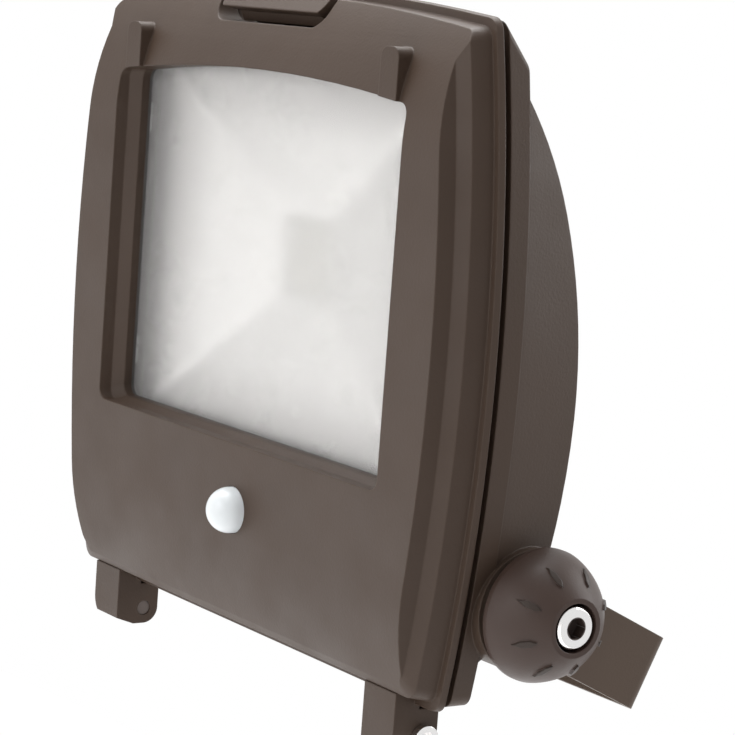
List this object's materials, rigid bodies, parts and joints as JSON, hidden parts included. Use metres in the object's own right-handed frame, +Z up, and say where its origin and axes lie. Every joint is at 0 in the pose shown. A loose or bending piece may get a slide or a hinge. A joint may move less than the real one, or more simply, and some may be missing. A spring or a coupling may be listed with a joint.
{
  "type": "motion sensor security light",
  "caption": "Bow-fronted floodlight in a wall bracket, with a movement sensor dome, hinged glazed bezel, top latch, finned back and round clamp knobs.",
  "frame": {"origin": "on the wall, at the middle of the bracket's base", "axes": "+Z up, +Y into the wall, +X to the right of someone who faces the light"},
  "size_m": [0.2766, 0.1594, 0.2074],
  "materials": {
    "powder_coat": "die casting with a fine-textured satin powder coat",
    "coated_strip": "steel strip, powder coated",
    "knob_plastic": "satin moulded plastic",
    "chrome_steel": "polished",
    "zinc_steel": "zinc plated",
    "frosted_glass": "finely frosted",
    "satin_sheet": "satin anodised",
    "silicone": "matte",
    "lens_plastic": "milky, translucent",
    "black_plastic": "moulded",
    "white_plastic": "moulded",
    "circuit_board": "varnished",
    "lamp_board": "white-masked aluminium board",
    "phosphor": "matte silicone",
    "nickel_can": "nickel plated"
  },
  "bodies": {
    "bracket": {"bracket": "coated_strip"},
    "head": {"rear_housing": "powder_coat", "housing_gasket": "silicone", "led_substrate": "lamp_board", "led_phosphor": "phosphor", "led_screws": "zinc_steel", "reflector": "satin_sheet", "reflector_screws": "zinc_steel", "led_driver": "white_plastic", "driver_screws": "zinc_steel", "terminal_block": "black_plastic", "earth_screw": "zinc_steel", "gland_body": "black_plastic", "gland_locknut": "black_plastic", "gland_cap": "black_plastic", "gland_seal": "silicone", "hinge_screws": "chrome_steel", "latch_pin": "zinc_steel", "clamp_washers": "zinc_steel"},
    "bezel": {"front_bezel": "powder_coat", "window_gasket": "silicone", "window_glass": "frosted_glass", "glass_clips": "zinc_steel", "clip_screws": "zinc_steel", "pir_dome": "lens_plastic", "dome_ring": "black_plastic", "sensor_board": "circuit_board", "board_screws": "zinc_steel", "pir_element": "nickel_can"},
    "latch": {"latch": "powder_coat"},
    "knob_left": {"knob_left": "knob_plastic", "bolt_left": "chrome_steel"},
    "knob_right": {"knob_right": "knob_plastic", "bolt_right": "chrome_steel"},
    "time_dial": {"time_dial": "white_plastic"},
    "range_dial": {"range_dial": "white_plastic"},
    "light_dial": {"light_dial": "white_plastic"}
  },
  "joints": [
    {"name": "head_tilt", "type": "hinge", "parent": "bracket", "child": "head", "pos_m": [0, -0.052, 0], "axis": [1, 0, 0], "range_deg": [-37, 64]},
    {"name": "bezel_open", "type": "hinge", "parent": "head", "child": "bezel", "pos_m": [0, -0.05299, -0.04757], "axis": [1, 0, 0], "range_deg": [0, 100]},
    {"name": "latch_open", "type": "hinge", "parent": "head", "child": "latch", "pos_m": [0, -0.142, 0.1462], "axis": [-1, 0, 0], "range_deg": [0, 100]},
    {"name": "knob_turn_left", "type": "hinge", "parent": "head", "child": "knob_left", "pos_m": [-0.13, -0.052, 0], "axis": [-1, 0, 0], "range_deg": [0, 360]},
    {"name": "knob_turn_right", "type": "hinge", "parent": "head", "child": "knob_right", "pos_m": [0.13, -0.052, 0], "axis": [1, 0, 0], "range_deg": [0, 360]},
    {"name": "time_dial_turn", "type": "hinge", "parent": "bezel", "child": "time_dial", "pos_m": [-0.0055, -0.07832, -0.00828], "axis": [0, 0.9003, 0.4352], "range_deg": [0, 270]},
    {"name": "range_dial_turn", "type": "hinge", "parent": "bezel", "child": "range_dial", "pos_m": [0.0065, -0.07832, -0.00828], "axis": [0, 0.9003, 0.4352], "range_deg": [0, 270]},
    {"name": "light_dial_turn", "type": "hinge", "parent": "bezel", "child": "light_dial", "pos_m": [0.0185, -0.07832, -0.00828], "axis": [0, 0.9003, 0.4352], "range_deg": [0, 270]}
  ]
}
